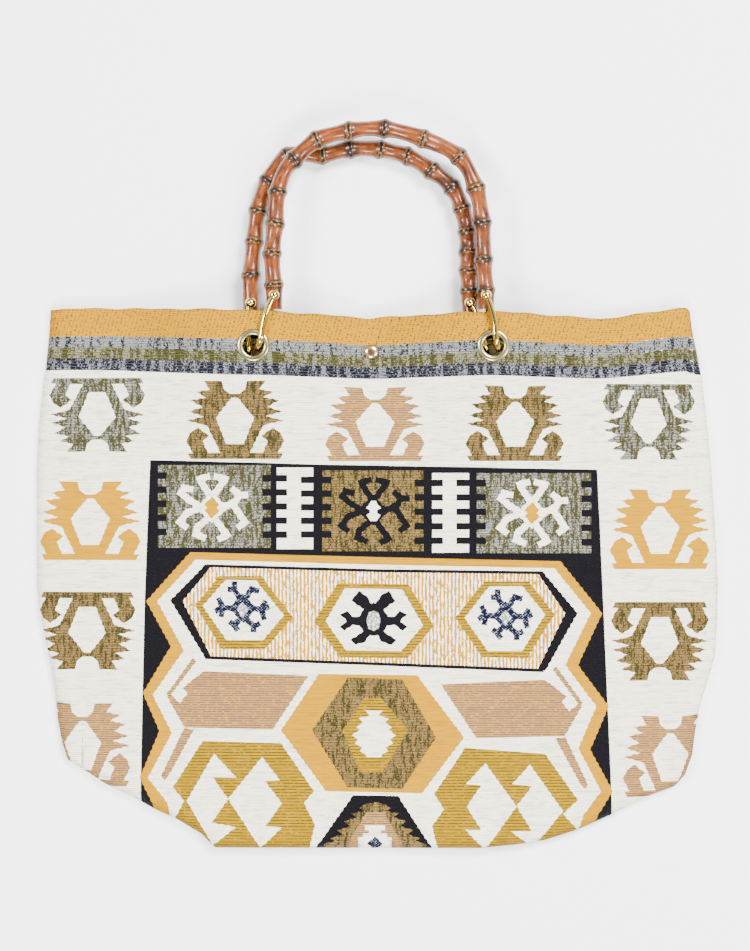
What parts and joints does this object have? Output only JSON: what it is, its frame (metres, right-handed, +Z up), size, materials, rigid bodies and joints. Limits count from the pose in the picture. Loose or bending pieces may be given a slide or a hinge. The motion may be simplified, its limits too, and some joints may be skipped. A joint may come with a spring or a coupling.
{
  "type": "wooden handle bag",
  "caption": "Flat woven kilim-pattern tote bag lying on its back, with arched bamboo root handles on brass shackles through eyelets and a snap at the mouth.",
  "frame": {"origin": "on the floor under the middle of the whole bag, which lies on its back", "axes": "+Y from the bag's bottom to its mouth and handles, +Z up out of its front face, +X to the right of the front face"},
  "size_m": [0.466, 0.4954, 0.0346],
  "materials": {
    "cloth_front": "jacquard woven cotton, matte",
    "cloth_back": "jacquard woven cotton, matte",
    "bamboo": "varnished, glossy",
    "polished_brass": "polished",
    "aged_brass": "satin"
  },
  "bodies": {
    "bag": {"front_panel": "cloth_front", "back_panel": "cloth_back", "front_eyelet_left": "aged_brass", "front_eyelet_right": "aged_brass", "rear_eyelet_left": "aged_brass", "rear_eyelet_right": "aged_brass", "snap_cap": "polished_brass", "snap_socket": "aged_brass", "snap_stud": "aged_brass", "snap_back_plate": "aged_brass"},
    "front_handle": {"front_handle": "bamboo", "front_shackle_left": "polished_brass", "front_shackle_right": "polished_brass"},
    "rear_handle": {"rear_handle": "bamboo", "rear_shackle_left": "polished_brass", "rear_shackle_right": "polished_brass"}
  },
  "joints": [
    {"name": "front_handle_lift", "type": "hinge", "parent": "bag", "child": "front_handle", "pos_m": [0, 0.0921, 0.0265], "axis": [1, 0, 0], "range_deg": [0, 20]},
    {"name": "rear_handle_lift", "type": "hinge", "parent": "bag", "child": "rear_handle", "pos_m": [0, 0.0869, 0.0101], "axis": [1, 0, 0], "range_deg": [-18, 0]}
  ]
}
